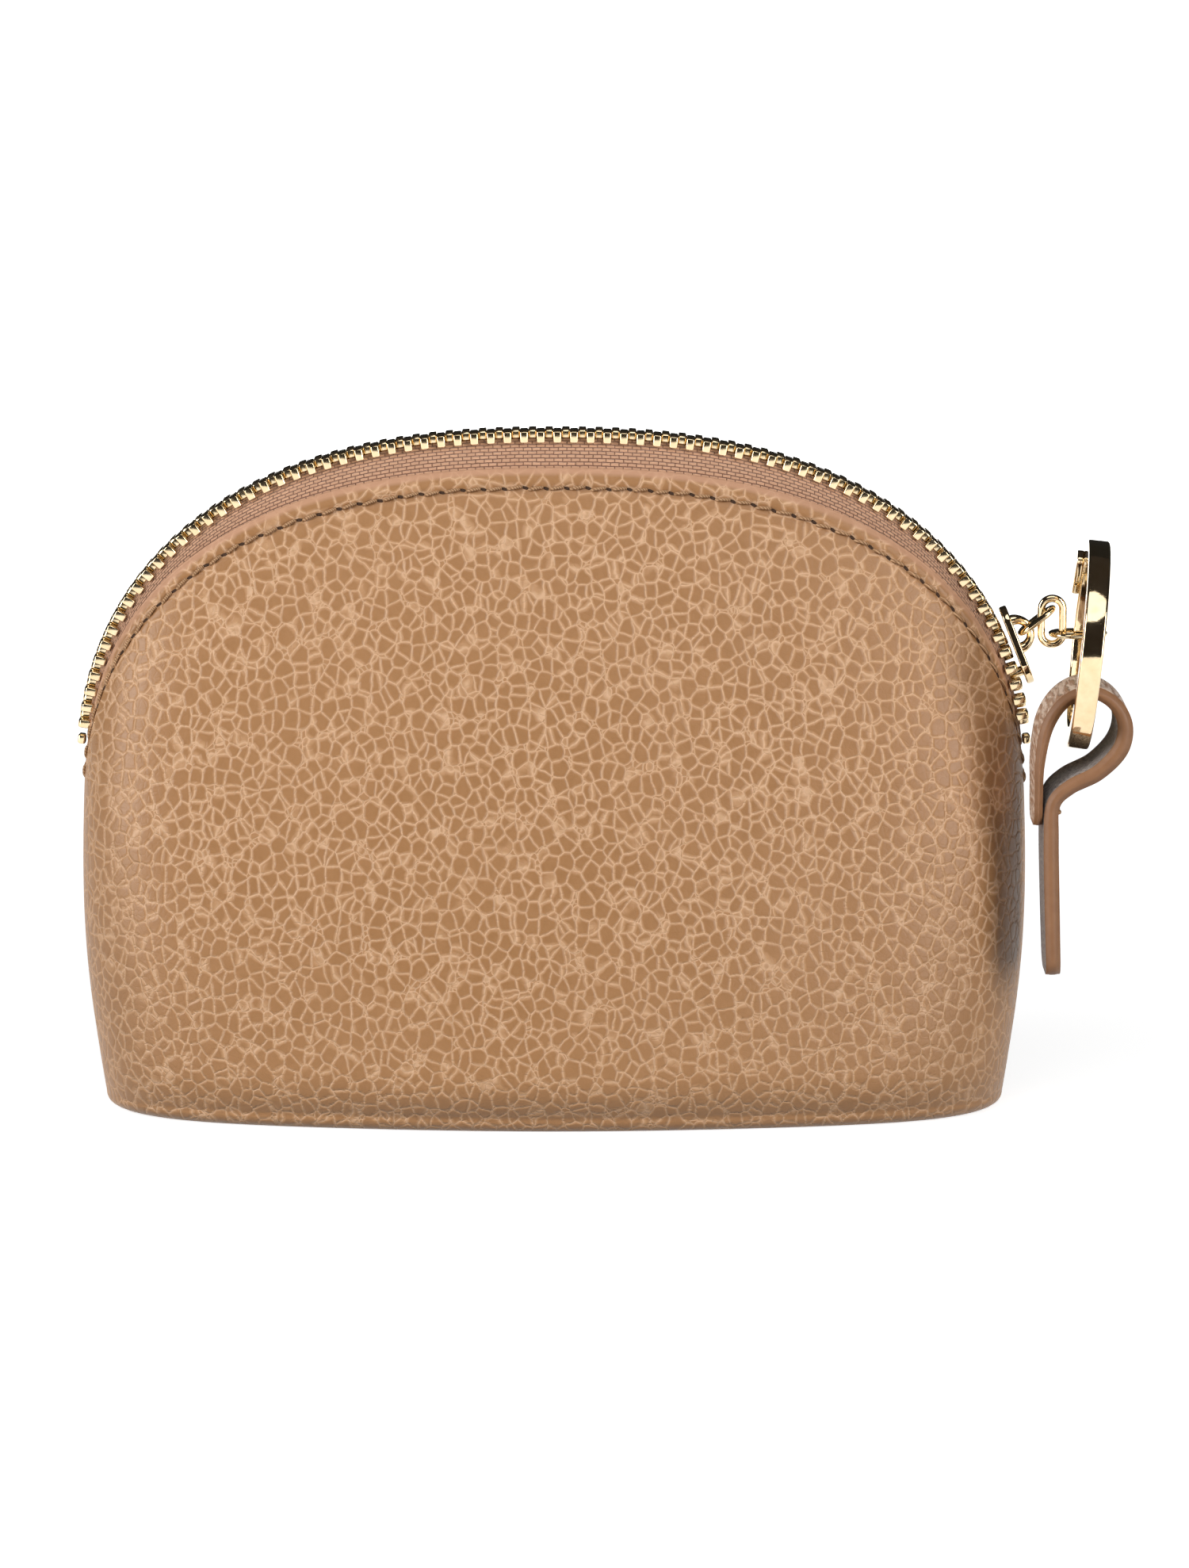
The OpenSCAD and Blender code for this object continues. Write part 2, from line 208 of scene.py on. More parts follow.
def apply_modifiers(obj):
    """Replaces a piece's mesh by its modified one and stores its rest positions again."""
    depsgraph = bpy.context.evaluated_depsgraph_get()
    mesh = bpy.data.meshes.new_from_object(obj.evaluated_get(depsgraph))
    obj.modifiers.clear()
    obj.data = mesh
    mesh.polygons.foreach_set("use_smooth", np.full(len(mesh.polygons), True))
    old = mesh.attributes.get("rest_mm")
    if old:
        mesh.attributes.remove(old)
    points = np.array([v.co for v in mesh.vertices], float) / MM
    set_attribute(mesh, "rest_mm", points)


def soft_noise(points, size, seed):
    """Smooth noise from -1 to 1 at each point, with bumps about size millimetres across."""
    shift = Vector((seed * 17.3, seed * 5.1, seed * 9.7))
    return np.array([noise.noise(Vector(p) / size + shift) for p in points])


# ---------- the pouch's shape ----------


def arch_up(u):
    return np.maximum(0, 1 - np.abs(u) ** ARCH_POWER) ** (1 / ARCH_POWER)


def side_w(v):
    return BASE_HALF_W + (SIDE_HALF_W - BASE_HALF_W) * v + SIDE_BULGE * np.sin(np.pi * v)


def depth_mid(v):
    tuck = PANEL_TUCK * np.maximum(0, 1 - v / TUCK_SHARE) ** 2.2
    return PANEL_EDGE_Y + (HALF_DEPTH - PANEL_EDGE_Y) * (1 - v**1.6) - tuck


def depth_across(u, v):
    flare = 1 - 0.4 * (1 - v) ** 0.7 * np.abs(u) ** 1.8
    return flare * np.sqrt(np.maximum(0, 1 - np.abs(u) ** (10 + 6 * v)))


def face_point(u, v):
    """A point of the front panel's outer face; u runs -1 to 1 across and v 0 to 1 upward."""
    u, v = np.broadcast_arrays(np.asarray(u, float), np.asarray(v, float))
    top = SEAM_TOP_Z + (ARCH_RISE - PANEL_EDGE_DROP) * arch_up(u)
    x = u * side_w(v)
    y = -SEAM_GAP / 2 - depth_mid(v) * depth_across(u, v)
    z = PANEL_BOTTOM_Z + (top - PANEL_BOTTOM_Z) * v
    return np.stack([x, y, z], -1)


def across(t):
    """Share of the half width from an even parameter, so that columns crowd towards the ends."""
    return np.sin(np.pi / 2 * t)


class ZipLine:
    """The zip's centreline by arc length, from the left end."""

    def __init__(self):
        end = math.radians(82.9)
        f = np.linspace(-end, end, 2001)
        x = ZIP_HALF_W * np.sign(f) * np.abs(np.sin(f)) ** (2 / ARCH_POWER)
        z = SEAM_TOP_Z + ARCH_RISE * np.cos(f) ** (2 / ARCH_POWER)
        self.points = np.stack([x, 0 * x, z], -1)
        steps = np.linalg.norm(np.diff(self.points, axis=0), axis=1)
        self.s = np.concatenate([[0], np.cumsum(steps)])
        self.length = self.s[-1]

    def at(self, s):
        return np.stack([np.interp(s, self.s, self.points[:, k]) for k in range(3)], -1)

    def ahead(self, s):
        return unit(self.at(np.asarray(s) + 0.4) - self.at(np.asarray(s) - 0.4))

    def outward(self, s):
        a = self.ahead(s)
        return np.stack([-a[..., 2], 0 * a[..., 0], a[..., 0]], -1)


ZIP = ZipLine()
SLIDER_S = ZIP.length - 10.6
POST_AHEAD = 3.2


def mirror_y(points):
    return points * np.array([1.0, -1.0, 1.0])


# ---------- material helpers ----------


def srgb(r, g, b):
    """A linear colour from sRGB values 0 to 255."""
    c = np.array([r, g, b]) / 255
    low, high = c / 12.92, ((c + 0.055) / 1.055) ** 2.4
    return (*np.where(c <= 0.04045, low, high).tolist(), 1.0)


class Nodes:
    """Short calls to add and link shader nodes."""

    def __init__(self, name):
        self.material = bpy.data.materials.new(name)
        self.material.use_nodes = True
        self.tree = self.material.node_tree
        self.bsdf = self.tree.nodes["Principled BSDF"]

    def add(self, kind, **values):
        node = self.tree.nodes.new(kind)
        for key, value in values.items():
            setattr(node, key, value)
        return node

    def link(self, a, b):
        self.tree.links.new(a, b)

    def attribute(self, name):
        return self.add("ShaderNodeAttribute", attribute_name=name)

    def mapped(self, vector, scale, shift=(0, 0, 0)):
        node = self.add("ShaderNodeMapping")
        node.inputs["Scale"].default_value = scale
        node.inputs["Location"].default_value = shift
        self.link(vector, node.inputs["Vector"])
        return node.outputs["Vector"]

    def math(self, operation, a, b=0.0, c=0.0, clamp=False):
        node = self.add("ShaderNodeMath", operation=operation, use_clamp=clamp)
        for socket, value in zip(node.inputs, (a, b, c)):
            if isinstance(value, (int, float)):
                socket.default_value = value
            else:
                self.link(value, socket)
        return node.outputs[0]

    def step(self, value, low, high):
        """0 below low, 1 above high, smooth between; low may exceed high."""
        node = self.add("ShaderNodeMapRange", interpolation_type="SMOOTHSTEP")
        if low > high:
            low, high = high, low
            node.inputs["To Min"].default_value = 1.0
            node.inputs["To Max"].default_value = 0.0
        node.inputs["From Min"].default_value = low
        node.inputs["From Max"].default_value = high
        self.link(value, node.inputs["Value"])
        return node.outputs["Result"]

    def mix(self, factor, a, b):
        """Mixes two colours; each is a colour or a socket."""
        node = self.add("ShaderNodeMix", data_type="RGBA")
        for socket, value in ((node.inputs[6], a), (node.inputs[7], b)):
            if isinstance(value, tuple):
                socket.default_value = value
            else:
                self.link(value, socket)
        if isinstance(factor, (int, float)):
            node.inputs[0].default_value = factor
        else:
            self.link(factor, node.inputs[0])
        return node.outputs[2]

    def ramp(self, value, stops):
        """Colour against a value, from (position, colour) pairs."""
        node = self.add("ShaderNodeValToRGB")
        elements = node.color_ramp.elements
        while len(elements) < len(stops):
            elements.new(0.5)
        for element, (position, color) in zip(elements, stops):
            element.position = position
            element.color = color
        self.link(value, node.inputs[0])
        return node.outputs[0]

    def noise(self, vector, scale, detail=2.0):
        node = self.add("ShaderNodeTexNoise")
        node.inputs["Scale"].default_value = scale
        node.inputs["Detail"].default_value = detail
        self.link(vector, node.inputs["Vector"])
        return node

    def warped(self, vector, scale, amount):
        """vector pushed about by noise, in the vector's own units."""
        wobble = self.noise(vector, scale).outputs["Color"]
        centred = self.add("ShaderNodeVectorMath", operation="SUBTRACT")
        centred.inputs[1].default_value = (0.5, 0.5, 0.5)
        self.link(wobble, centred.inputs[0])
        grown = self.add("ShaderNodeVectorMath", operation="SCALE")
        grown.inputs["Scale"].default_value = amount
        self.link(centred.outputs[0], grown.inputs[0])
        total = self.add("ShaderNodeVectorMath", operation="ADD")
        self.link(vector, total.inputs[0])
        self.link(grown.outputs[0], total.inputs[1])
        return total.outputs[0]

    def voronoi(self, vector, scale, feature="DISTANCE_TO_EDGE", randomness=1.0):
        node = self.add("ShaderNodeTexVoronoi", feature=feature)
        node.inputs["Scale"].default_value = scale
        node.inputs["Randomness"].default_value = randomness
        self.link(vector, node.inputs["Vector"])
        return node

    def bump(self, height, distance_mm, strength=1.0, normal=None):
        node = self.add("ShaderNodeBump")
        node.inputs["Strength"].default_value = strength
        node.inputs["Distance"].default_value = distance_mm * MM
        self.link(height, node.inputs["Height"])
        if normal is not None:
            self.link(normal, node.inputs["Normal"])
        return node.outputs["Normal"]

    def finish(self, color=None, roughness=None, normal=None, **fixed):
        for socket, value in (("Base Color", color), ("Roughness", roughness)):
            if value is None:
                continue
            if isinstance(value, (int, float, tuple)):
                self.bsdf.inputs[socket].default_value = value
            else:
                self.link(value, self.bsdf.inputs[socket])
        if normal is not None:
            self.link(normal, self.bsdf.inputs["Normal"])
        for key, value in fixed.items():
            self.bsdf.inputs[key].default_value = value
        return self.material


# ---------- materials ----------


def pebble_field(n, coords, scale):
    """Height of one layer of pebbles, in cell widths: 0 in a crease, above 0.1 on a pebble's top."""
    edge = n.voronoi(coords, scale).outputs["Distance"]
    centre = n.voronoi(coords, scale, "F1").outputs["Distance"]
    return n.math("MINIMUM", edge, n.math("SUBTRACT", 0.8, centre))


def pebbled_leather():
    """Soft tan leather: rounded darker pebbles, each with a pale rim, over a layer of smaller ones; the
    darker tops are painted shade and the pale rims and creases painted light.
    """
    n = Nodes("pebbled_leather")
    rest = n.attribute("rest_mm").outputs["Vector"]
    edge = n.attribute("edge_mm").outputs["Fac"]
    groove = n.attribute("groove").outputs["Fac"]
    coords = n.mapped(n.warped(rest, 0.3, 1.2), (1.0, 1.0, 0.85))
    size = n.math("MULTIPLY", n.math("SUBTRACT", n.noise(rest, 0.45).outputs["Fac"], 0.5), 0.05)
    large = n.math("ADD", pebble_field(n, coords, 0.66), size)
    small = pebble_field(n, n.warped(rest, 0.8, 0.5), 1.15)
    plain = n.step(edge, 0.5, 1.1)
    # Painted shade and light: the pebble tops are coloured darker and their rims and creases paler, as
    # light falls on the grain; the pebble pattern itself is the grain.
    core = n.mix(n.noise(rest, 0.9, 4.0).outputs["Fac"], LEATHER_SHADED_TOP, LEATHER_MID)
    small_stops = ((0.0, LEATHER_RIM), (0.04, LEATHER_LIT_CREASE), (0.1, LEATHER_RIM), (0.18, LEATHER_MID))
    small_color = n.ramp(small, small_stops)
    rim = n.ramp(large, ((0.0, LEATHER_LIT_CREASE), (0.06, LEATHER_RIM), (0.13, LEATHER_RIM)))
    color = n.mix(n.step(large, -0.04, 0.0), small_color, rim)
    color = n.mix(n.step(large, 0.06, 0.17), color, core)
    color = n.mix(n.math("MULTIPLY", n.math("SUBTRACT", 1.0, plain), 0.85), color, LEATHER_EDGE)
    cloud = n.math("MULTIPLY", n.step(n.noise(rest, 0.06, 3.0).outputs["Fac"], 0.35, 0.7), 0.15)
    color = n.mix(cloud, color, LEATHER_RIM)
    # Painted shade: the leather is coloured darker along the stitch groove.
    color = n.mix(n.math("MULTIPLY", groove, 0.3), color, LEATHER_SHADE)
    dome = n.step(large, -0.06, 0.2)
    filler_share = n.math("SUBTRACT", 0.5, n.math("MULTIPLY", dome, 0.4))
    filler = n.math("MULTIPLY", n.step(small, -0.02, 0.16), filler_share)
    grain = n.math("MULTIPLY", n.math("ADD", dome, filler), plain)
    fine = n.math("MULTIPLY", n.noise(rest, 6.0, 3.0).outputs["Fac"], 0.12)
    normal = n.bump(n.math("ADD", grain, fine), 0.11)
    rough = n.math("SUBTRACT", 0.52, n.math("MULTIPLY", dome, 0.12))
    return n.finish(color, rough, normal, **{"Specular IOR Level": 0.45})


def cut_edge():
    """Raw edge of the leather, paler than its face."""
    n = Nodes("cut_edge")
    rest = n.attribute("rest_mm").outputs["Vector"]
    fibre = n.noise(rest, 4.0, 5.0).outputs["Fac"]
    color = n.mix(fibre, srgb(214, 168, 142), srgb(240, 206, 184))
    return n.finish(color, 0.75, n.bump(fibre, 0.06))


def flesh_side(name="flesh_side", dark=srgb(110, 92, 76), pale=srgb(176, 160, 144)):
    """Fuzzy back of the leather."""
    n = Nodes(name)
    rest = n.attribute("rest_mm").outputs["Vector"]
    fibre = n.noise(n.mapped(rest, (1.0, 3.0, 1.0)), 2.6, 6.0).outputs["Fac"]
    color = n.mix(n.step(fibre, 0.35, 0.7), dark, pale)
    return n.finish(color, 0.9, n.bump(fibre, 0.12), **{"Sheen Weight": 0.25})


def painted_edge():
    """Strap edges, sealed with brown paint."""
    n = Nodes("painted_edge")
    rest = n.attribute("rest_mm").outputs["Vector"]
    smear = n.noise(rest, 0.6, 4.0).outputs["Fac"]
    color = n.mix(smear, srgb(132, 90, 58), srgb(160, 114, 78))
    return n.finish(color, 0.5, n.bump(n.noise(rest, 2.2, 3.0).outputs["Fac"], 0.05))


def strap_grain():
    """Grain side of the strap: pale on the bend, with fine ribs across it; the ribs' pale colour is a
    painted highlight.
    """
    n = Nodes("strap_grain")
    rest = n.attribute("rest_mm").outputs["Vector"]
    run = n.attribute("run_mm").outputs["Fac"]
    across_y = n.add("ShaderNodeSeparateXYZ")
    n.link(rest, across_y.inputs[0])
    flat = n.add("ShaderNodeCombineXYZ")
    n.link(run, flat.inputs["X"])
    n.link(across_y.outputs["Y"], flat.inputs["Y"])
    coords = n.warped(flat.outputs[0], 0.5, 0.7)
    ribs = n.noise(n.mapped(coords, (1.7, 0.22, 1.0)), 1.0, 3.0).outputs["Fac"]
    rib_and_highlight = n.step(ribs, 0.36, 0.62)
    # Painted highlight: the ribs are coloured near white, on top of their bump.
    color = n.mix(rib_and_highlight, srgb(176, 136, 108), srgb(236, 212, 192))
    rough = n.math("SUBTRACT", 0.55, n.math("MULTIPLY", rib_and_highlight, 0.12))
    return n.finish(color, rough, n.bump(rib_and_highlight, 0.22))


def woven_tape():
    """Zip tape: rows of slanted yarn along the zip."""
    n = Nodes("woven_tape")
    weave = n.attribute("weave_mm").outputs["Vector"]
    brick = n.add("ShaderNodeTexBrick", offset=0.5, squash=1.0)
    slanted = n.add("ShaderNodeMapping")
    slanted.inputs["Rotation"].default_value = (0, 0, 0)
    n.link(n.warped(weave, 1.4, 0.16), slanted.inputs["Vector"])
    n.link(slanted.outputs[0], brick.inputs["Vector"])
    for key, value in (
        ("Color1", (1, 1, 1, 1)),
        ("Color2", (0.82, 0.82, 0.82, 1)),
        ("Mortar", (0, 0, 0, 1)),
        ("Scale", 1.0),
        ("Mortar Size", 0.09),
        ("Mortar Smooth", 1.0),
        ("Brick Width", 1.05),
        ("Row Height", 0.47),
    ):
        brick.inputs[key].default_value = value
    yarn = n.add("ShaderNodeRGBToBW")
    n.link(brick.outputs["Color"], yarn.inputs[0])
    level = yarn.outputs[0]
    fibre = n.noise(n.mapped(weave, (3.0, 14.0, 1.0)), 1.0, 2.0).outputs["Fac"]
    height = n.math("ADD", level, n.math("MULTIPLY", fibre, 0.3))
    color = n.mix(level, srgb(128, 84, 60), srgb(206, 160, 128))
    return n.finish(color, 0.85, n.bump(height, 0.12), **{"Sheen Weight": 0.2})


def lining_cloth():
    """Plain woven lining."""
    n = Nodes("lining_cloth")
    rest = n.attribute("rest_mm").outputs["Vector"]
    wave = n.add("ShaderNodeTexWave", bands_direction="X")
    wave.inputs["Scale"].default_value = 0.55
    cross = n.add("ShaderNodeTexWave", bands_direction="Z")
    cross.inputs["Scale"].default_value = 0.55
    n.link(rest, wave.inputs["Vector"])
    n.link(rest, cross.inputs["Vector"])
    weave = n.math("MULTIPLY", wave.outputs["Fac"], cross.outputs["Fac"])
    cloth = n.mix(n.noise(rest, 0.12, 3.0).outputs["Fac"], srgb(120, 88, 62), srgb(146, 110, 80))
    color = n.mix(n.math("MULTIPLY", weave, 0.3), cloth, srgb(84, 60, 42))
    return n.finish(color, 0.9, n.bump(weave, 0.08), **{"Sheen Weight": 0.3})


def gold_metal(name, roughness, scuffs):
    """Pale gold plating, with faint scuffs that soften its shine."""
    n = Nodes(name)
    rest = n.attribute("rest_mm").outputs["Vector"]
    cloud = n.noise(rest, 0.7, 4.0).outputs["Fac"]
    scratch = n.noise(n.mapped(rest, (0.6, 5.0, 5.0)), 2.0, 5.0).outputs["Fac"]
    worn = n.step(scratch, 0.55, 0.75)
    color = n.mix(cloud, GOLD_DEEP, GOLD_PALE)
    rough = n.math("ADD", roughness, n.math("MULTIPLY", worn, scuffs))
    normal = n.bump(cloud, 0.012)
    return n.finish(color, rough, normal, Metallic=1.0)


def sewing_thread():
    """Twisted thread."""
    n = Nodes("sewing_thread")
    rest = n.attribute("rest_mm").outputs["Vector"]
    twist = n.add("ShaderNodeTexWave", bands_direction="DIAGONAL")
    twist.inputs["Scale"].default_value = 1.6
    n.link(rest, twist.inputs["Vector"])
    color = n.mix(twist.outputs["Fac"], srgb(150, 108, 70), srgb(206, 164, 122))
    return n.finish(color, 0.6, n.bump(twist.outputs["Fac"], 0.06))


def needle_hole():
    """The shadowed hole that a stitch dives into."""
    n = Nodes("needle_hole")
    rest = n.attribute("rest_mm").outputs["Vector"]
    color = n.mix(n.noise(rest, 3.0).outputs["Fac"], srgb(46, 28, 14), srgb(72, 46, 26))
    return n.finish(color, 0.9)


def grey_board():
    """Stiffener in the base."""
    n = Nodes("grey_board")
    rest = n.attribute("rest_mm").outputs["Vector"]
    speck = n.noise(rest, 2.0, 5.0).outputs["Fac"]
    color = n.mix(speck, srgb(120, 108, 92), srgb(156, 142, 122))
    return n.finish(color, 0.85, n.bump(speck, 0.05))


# The darkest leather colour is painted shade on the pebble tops, and the palest is painted light in the
# creases.
LEATHER_SHADED_TOP = srgb(160, 113, 68)
LEATHER_MID = srgb(178, 130, 86)
LEATHER_RIM = srgb(194, 147, 104)
LEATHER_LIT_CREASE = srgb(222, 180, 142)
LEATHER_EDGE = srgb(206, 158, 128)
LEATHER_SHADE = srgb(110, 74, 44)
GOLD_DEEP = srgb(222, 194, 146)
GOLD_PALE = srgb(242, 224, 190)

LEATHER = pebbled_leather()
CUT_EDGE = cut_edge()
FLESH = flesh_side()
STRAP_FLESH = flesh_side("strap_flesh", srgb(66, 54, 48), srgb(190, 178, 172))
PAINTED = painted_edge()
STRAP_GRAIN = strap_grain()
TAPE = woven_tape()
LINING = lining_cloth()
GOLD = gold_metal("gold_polished", 0.07, 0.10)
GOLD_TEETH = gold_metal("gold_teeth", 0.16, 0.15)
THREAD = sewing_thread()
HOLE = needle_hole()
BOARD = grey_board()

# ---------- leather skins ----------

SKIN_COLS = 361
FACE_ROWS = 170
CORNER_R = 1.8
STITCH_HALF = 0.45


def stitch_v(u):
    """Share of the panel height that the stitch line keeps to."""
    return 0.969 - 0.024 * np.abs(u) ** 6


def skin_grid(cols):
    """Outer grid of the front skin: from the middle of the underside, round the edge and up to the zip."""
    t = np.linspace(-1, 1, cols)
    u = across(t)[:, None]
    base = face_point(u, 0.0)
    depth = -base[..., 1]
    corner = np.minimum(CORNER_R, depth * 0.5 + 0.02)
    inset_x = 1 - CORNER_R / BASE_HALF_W

    under = np.linspace(0, 1, 10)[None, :]
    under_y = -(depth - corner) * under
    under_x = np.broadcast_to(base[..., 0] * inset_x, under_y.shape)
    flat = np.stack([under_x, under_y - SEAM_GAP / 2, np.full(under_y.shape, 0.02)], -1)

    turn = np.radians(np.linspace(9, 81, 9))[None, :]
    turn_y = -(depth - corner) - corner * np.sin(turn)
    turn_z = np.broadcast_to(PANEL_BOTTOM_Z * (1 - np.cos(turn)), turn_y.shape)
    turn_x = base[..., 0] * (inset_x + (1 - inset_x) * np.sin(turn))
    round_part = np.stack([turn_x, turn_y - SEAM_GAP / 2, turn_z], -1)

    v = np.concatenate([np.linspace(0, 0.9, FACE_ROWS), np.linspace(0.9, 1, 46)[1:]])[None, :]
    face = face_point(u, v)
    return u, v, np.concatenate([flat, round_part, face], 1), flat.shape[1] + round_part.shape[1]


def edge_distance(grid, first_row):
    """Distance of each point of the skin from the cut edge, square to that edge."""
    top = grid[:, -1]
    tangent = unit(np.gradient(top, axis=0))[:, None]
    away = grid - top[:, None]
    across_edge = away - np.sum(away * tangent, -1, keepdims=True) * tangent
    distance = np.linalg.norm(across_edge, axis=-1)
    distance[:, :first_row] = 60
    return distance


def front_skin_parts():
    """The front leather skin's points, faces, face parts and per-point values."""
    u, v, outer, first_row = skin_grid(SKIN_COLS)
    normals = grid_normals(outer)
    edge = edge_distance(outer, first_row)
    line_v = np.zeros(outer.shape[:2])
    line_v[:, first_row:] = v
    stitch_offset = (line_v - stitch_v(u)) * 60
    groove = np.exp(-((stitch_offset / STITCH_HALF) ** 2))
    flat = outer.reshape(-1, 3)
    wave = soft_noise(flat, 26, 1).reshape(edge.shape) * 0.35
    wave += soft_noise(flat, 9, 2).reshape(edge.shape) * 0.10
    keep = smooth_step(0, 6, outer[..., 2]) * smooth_step(0, 8, edge)
    keep *= smooth_step(0, 5, -outer[..., 1])
    lift = wave * keep - 0.16 * groove
    lift -= 0.3 * (1 - smooth_step(0, 0.7, edge))
    outer = outer + normals * lift[..., None]
    inner = outer - normals * (LEATHER_T - 0.3 * (1 - smooth_step(0, 0.7, edge)))[..., None]
    points, faces, parts = closed_sheet(outer, inner)
    return points, faces, parts, np.tile(edge.ravel(), 2), np.tile(groove.ravel(), 2)


def add_skin(name, side, points, faces, parts, edge, groove):
    if side > 0:
        points, faces = mirror_y(points), faces[:, ::-1]
    slots = np.choose(parts, [0, 1, 1, 2, 1])
    obj = mesh_object(name, points, faces, [LEATHER, FLESH, CUT_EDGE], slots)
    set_attribute(obj.data, "edge_mm", edge)
    set_attribute(obj.data, "groove", groove)
    if side > 0:
        set_attribute_shift(obj.data, 40.0)
    return obj


def set_attribute_shift(mesh, amount):
    """Moves the stored rest positions, so that the two sides don't carry the same grain."""
    data = mesh.attributes["rest_mm"].data
    values = np.empty(len(data) * 3, np.float32)
    data.foreach_get("vector", values)
    values[0::3] += amount
    data.foreach_set("vector", values)


def hinge_blend(obj):
    """Bakes the piece's transform into its mesh."""
    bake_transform(obj)


# ---------- stitching ----------


def stitch_frames():
    """Places along the stitch line, one per stitch: (point, ahead, outward normal)."""
    t = np.linspace(-0.985, 0.985, 1500)
    u = across(t)
    line = face_point(u, stitch_v(u))
    s = np.concatenate([[0], np.cumsum(np.linalg.norm(np.diff(line, axis=0), axis=1))])
    places = []
    for at in np.arange(1.5 * STITCH_PITCH, s[-1] - STITCH_PITCH, STITCH_PITCH):
        ut = np.interp(at, s, u)
        vt = stitch_v(ut)
        p = face_point(ut, vt)
        after, before = ut + 0.002, ut - 0.002
        ahead = unit(face_point(after, stitch_v(after)) - face_point(before, stitch_v(before)))
        up = unit(face_point(ut, vt) - face_point(ut, vt - 0.01))
        places.append((p, ahead, unit(np.cross(ahead, up))))
    return places


# half width and half depth of a needle hole at four places along it
HOLE_WIDTHS = [0.10, 0.19, 0.19, 0.10]
HOLE_DEPTHS = [0.03, 0.05, 0.05, 0.03]


def stitch_parts():
    """Thread segments and the needle holes between them."""
    threads, holes = [], []
    for k, (p, ahead, normal) in enumerate(stitch_frames()):
        side = np.cross(normal, ahead)
        wobble = 0.06 * math.sin(k * 2.3)
        along = np.linspace(-0.92, 0.78, 9)
        rise = 0.10 - 0.42 * np.abs(along / 0.92) ** 3
        slant = 0.16 * along + wobble
        path = p + along[:, None] * ahead + rise[:, None] * normal + slant[:, None] * side
        threads.append(tube(path, 0.2, 0.2, sides=8, up=normal))
        hole_path = p + np.array([[0.85], [1.1], [1.35], [1.6]]) * ahead
        hole_path = hole_path + (wobble - np.array([[-0.1], [-0.02], [0.06], [0.12]])) * side
        hole_path = hole_path - 0.14 * normal
        holes.append(tube(hole_path, HOLE_WIDTHS, HOLE_DEPTHS, sides=8, up=normal))
    return threads, holes


def add_stitching(name, side):
    threads, holes = stitch_parts()
    points, faces = join_parts(threads + holes)
    per_thread = len(threads[0][1])
    per_hole = len(holes[0][1])
    slots = [0] * (per_thread * len(threads)) + [1] * (per_hole * len(holes))
    if side > 0:
        points, faces = mirror_y(points), [f[::-1] for f in faces]
    obj = mesh_object(name, points, faces, [THREAD, HOLE], slots)
    return obj


# ---------- zip tape, teeth and lining ----------

TAPE_T = 0.45


def tape_grid():
    """Outer face of the front tape, from under the leather up to the teeth, with weave coordinates."""
    cols = 260
    t = np.linspace(-0.93, 0.93, cols)
    u = across(t)
    inner = LEATHER_T + 0.15
    edge_rows = []
    for v in (0.93, 0.965, 0.998):
        p = face_point(u, np.full(cols, v))
        ahead = unit(np.gradient(p, axis=0))
        up = unit(p - face_point(u, np.full(cols, v - 0.01)))
        edge_rows.append(p - unit(np.cross(ahead, up)) * inner)
    edge = edge_rows[-1]
    s = zip_share(u)
    top = ZIP.at(s) - 0.35 * ZIP.outward(s) - np.stack([0 * s, 1.0 + 0 * s, 0 * s], -1)
    rows = list(edge_rows)
    for k in np.linspace(0, 1, 8)[1:]:
        crown = 0.25 * math.sin(math.pi * k)
        rows.append(edge + (top - edge) * k + crown * (ZIP.outward(s) * 0.6 - np.array([0, 0.8, 0])))
    grid = np.stack(rows, 1)
    width = np.concatenate([[0], np.cumsum(np.linalg.norm(np.diff(grid[cols // 2], axis=0), axis=1))])
    weave = np.zeros(grid.shape)
    weave[..., 0] = s[:, None]
    weave[..., 1] = width[None, :]
    return grid, weave


def zip_share(u):
    """Arc length of the zip line at the column with that share of the half width."""
    return np.interp(u * ZIP_HALF_W, ZIP.points[:, 0], ZIP.s)


def add_tape(name, side):
    outer, weave = tape_grid()
    inner = outer - grid_normals(outer) * TAPE_T
    points, faces, _ = closed_sheet(outer, inner)
    if side > 0:
        points, faces = mirror_y(points), faces[:, ::-1]
    obj = mesh_object(name, points, faces, [TAPE])
    set_attribute(obj.data, "weave_mm", np.tile(weave.reshape(-1, 3), (2, 1)))
    return obj


def tooth_shape():
    """Points and faces of one metal tooth: x along the zip, y towards its own tape, z outward."""
    half = 0.5
    outline = [(-0.62, -0.72), (-0.62, 0.5), (-0.36, 0.82), (1.9, 0.82), (2.3, 0.6), (2.3, -0.72)]
    points, faces = [], []
    for inset, x in ((0.12, -half), (0.0, -half + 0.12), (0.0, half - 0.12), (0.12, half)):
        for y, z in outline:
            cy, cz = 0.84, 0.05
            points.append((x, y + (cy - y) * inset * 0.5, z + (cz - z) * inset))
    count = len(outline)
    for ring in range(3):
        for k in range(count):
            a, b = ring * count + k, ring * count + (k + 1) % count
            faces.append([a, b, b + count, a + count])
    faces.append(list(range(count))[::-1])
    faces.append([3 * count + k for k in range(count)])
    return np.array(points), faces


def spread_at(s):
    """How far each row stands off the middle past the slider's post, back to nothing at the stop."""
    return 1.55 * np.clip((s - SLIDER_S - POST_AHEAD + 4) / 2.6, 0, 1) * np.clip((ZIP.length - s) / 6, 0, 1)


